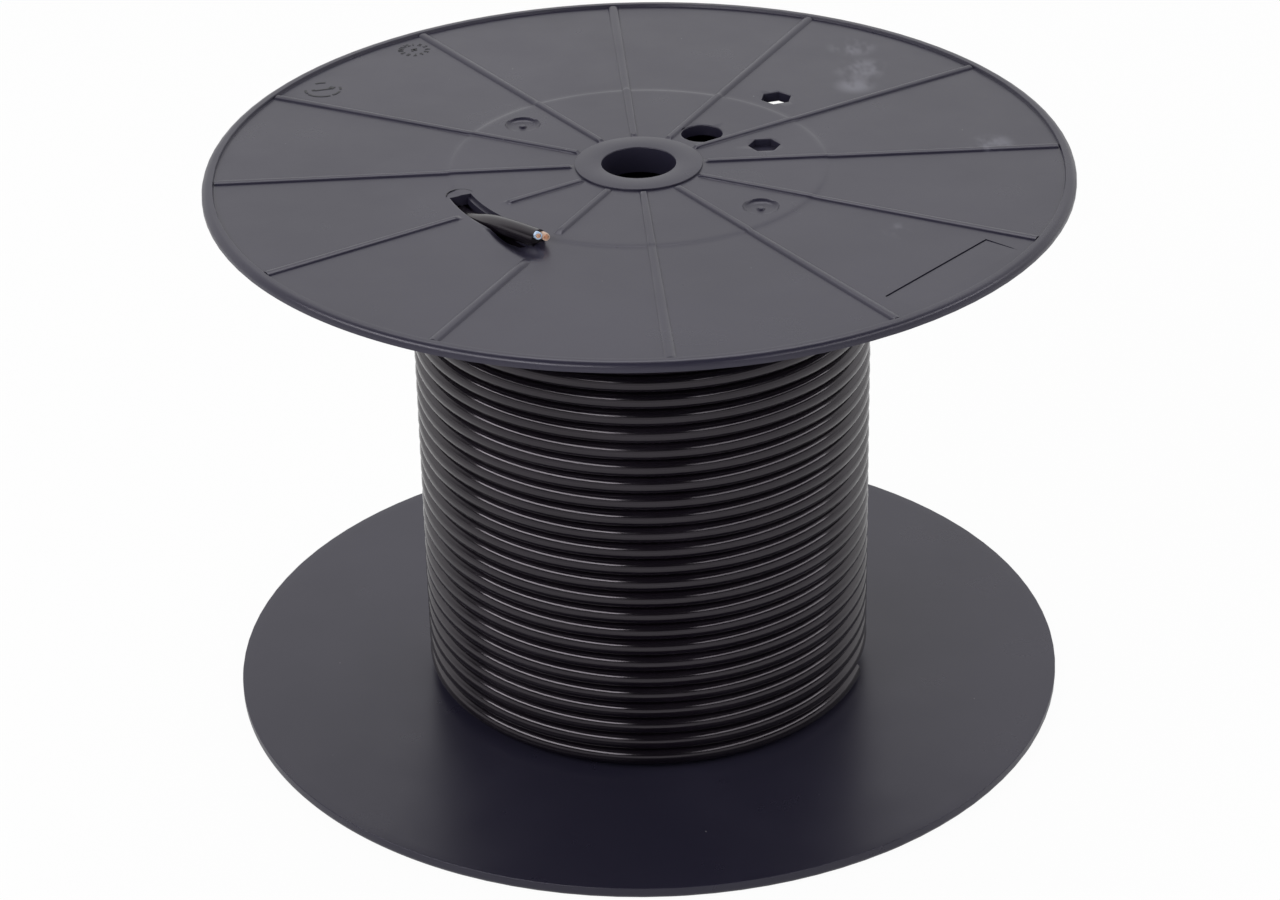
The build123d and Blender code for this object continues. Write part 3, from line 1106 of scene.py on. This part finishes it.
floor_corners = [
    (-FLOOR_REACH, -FLOOR_REACH, FLOOR_HEIGHT), (FLOOR_REACH, -FLOOR_REACH, FLOOR_HEIGHT),
    (FLOOR_REACH, FLOOR_REACH, FLOOR_HEIGHT), (-FLOOR_REACH, FLOOR_REACH, FLOOR_HEIGHT),
]
floor = make_piece("floor", floor_corners, [(0, 1, 2, 3)], stage_material())
print("floor is", 2 * FLOOR_REACH * MM, "m wide")

# %% [markdown]
# The world is the cloth and the room around it: pale behind the drum and near the horizon,
# dark everywhere else. The camera itself sees plain white.

# %% World
back_turn = math.radians(-CAMERA_AZIMUTH)
BACK_DIRECTION = (math.sin(back_turn), math.cos(back_turn), 0.0)
CLOTH_LEVEL = 1.2
ROOM_LEVEL = 0.05
world = bpy.data.worlds.new("studio")
bpy.context.scene.world = world
world.use_nodes = True
tree = world.node_tree
tree.nodes.clear()
world_output = tree.nodes.new("ShaderNodeOutputWorld")
surround = tree.nodes.new("ShaderNodeBackground")
direction = tree.nodes.new("ShaderNodeTexCoord").outputs["Generated"]
towards_back = tree.nodes.new("ShaderNodeVectorMath")
towards_back.operation = "DOT_PRODUCT"
towards_back.inputs[1].default_value = BACK_DIRECTION
tree.links.new(direction, towards_back.inputs[0])
height_above = tree.nodes.new("ShaderNodeSeparateXYZ")
tree.links.new(direction, height_above.inputs[0])
behind = remap(tree, towards_back.outputs["Value"], 0.05, 0.50)
near_horizon = remap(tree, height_above.outputs["Z"], 0.34, 0.24, 0.0, 0.8)
cloth = maths(tree, "MAXIMUM", behind, near_horizon)
brightness = remap(tree, cloth, 0.0, 1.0, ROOM_LEVEL, CLOTH_LEVEL)
brightness.node.interpolation_type = "LINEAR"
seen = seen_directly(tree, tree.nodes.new("ShaderNodeLightPath"))
tree.links.new(maths(tree, "MAXIMUM", brightness, seen), surround.inputs["Strength"])
tree.links.new(surround.outputs[0], world_output.inputs["Surface"])
print("world has", len(tree.nodes), "nodes")

# %% [markdown]
# Two low and wide soft boxes stand to the left and the right of the camera, and give the
# fine bright lines on the turns of cable and on the rim. A third hangs high behind the drum.

# %% Lamps
CAMERA_SIDE = -90 + CAMERA_AZIMUTH
LAMP_AIM = 0.1


def soft_lamp(name, azimuth, elevation, distance, width, height, power):
    """A soft box that looks at the drum from a direction in degrees; sizes in metres."""
    lamp = bpy.data.lights.new(name, "AREA")
    lamp.shape = "RECTANGLE"
    lamp.size, lamp.size_y = width, height
    lamp.energy = power
    holder = bpy.data.objects.new(name, lamp)
    bpy.context.scene.collection.objects.link(holder)
    level_reach, height_above = polar(distance, elevation)
    x, y = polar(level_reach, azimuth)
    place = Vector((x, y, height_above + LAMP_AIM))
    holder.location = place
    holder.rotation_euler = (Vector((0, 0, LAMP_AIM)) - place).to_track_quat("-Z", "Y").to_euler()


soft_lamp("box_left", CAMERA_SIDE - 52, elevation=37, distance=1.8, width=2.4, height=0.40, power=20)
soft_lamp("box_right", CAMERA_SIDE + 66, elevation=37, distance=1.8, width=2.5, height=0.36, power=10)
soft_lamp("box_back", CAMERA_SIDE + 180, elevation=68, distance=1.9, width=1.2, height=1.0, power=8)
print("lamps:", sorted(lamp.name for lamp in bpy.data.lights))

# %% [markdown]
# ## The camera
# The camera was matched to both rims in the photograph: a long lens, about 28 degrees
# above the horizon, with a slight roll and the picture's middle a little below its axis.

# %% Camera
CAMERA_ELEVATION = 28.489
CAMERA_ROLL = -1.203
CAMERA_DISTANCE = 8.3506 * flange_radius * MM
FOCAL_PIXELS = 3498.1
IMAGE_WIDTH = 1280
PRINCIPAL_ROW = 420.3
IMAGE_MIDDLE_ROW = 450
TARGET_ACROSS = -0.0094 * flange_radius * MM
TARGET_HEIGHT = 0.6735 * flange_radius * MM
turned = Matrix.Rotation(math.radians(CAMERA_AZIMUTH), 3, "Z")
target = turned @ Vector((TARGET_ACROSS, 0, TARGET_HEIGHT))
tilt = math.radians(CAMERA_ELEVATION)
back = turned @ Vector((0, -math.cos(tilt), math.sin(tilt)))
camera_data = bpy.data.cameras.new("camera")
camera = bpy.data.objects.new("camera", camera_data)
bpy.context.scene.collection.objects.link(camera)
camera.location = target + back * CAMERA_DISTANCE
level_view = (-back).to_track_quat("-Z", "Y").to_matrix()
camera.rotation_euler = (level_view @ Matrix.Rotation(math.radians(CAMERA_ROLL), 3, "Z")).to_euler()
camera_data.sensor_width = 36.0
camera_data.lens = FOCAL_PIXELS / IMAGE_WIDTH * camera_data.sensor_width
camera_data.shift_y = (PRINCIPAL_ROW - IMAGE_MIDDLE_ROW) / IMAGE_WIDTH
bpy.context.scene.camera = camera
bpy.context.scene.view_settings.view_transform = "Standard"
print("camera stands", round(camera.location.length, 3), "m from the origin")
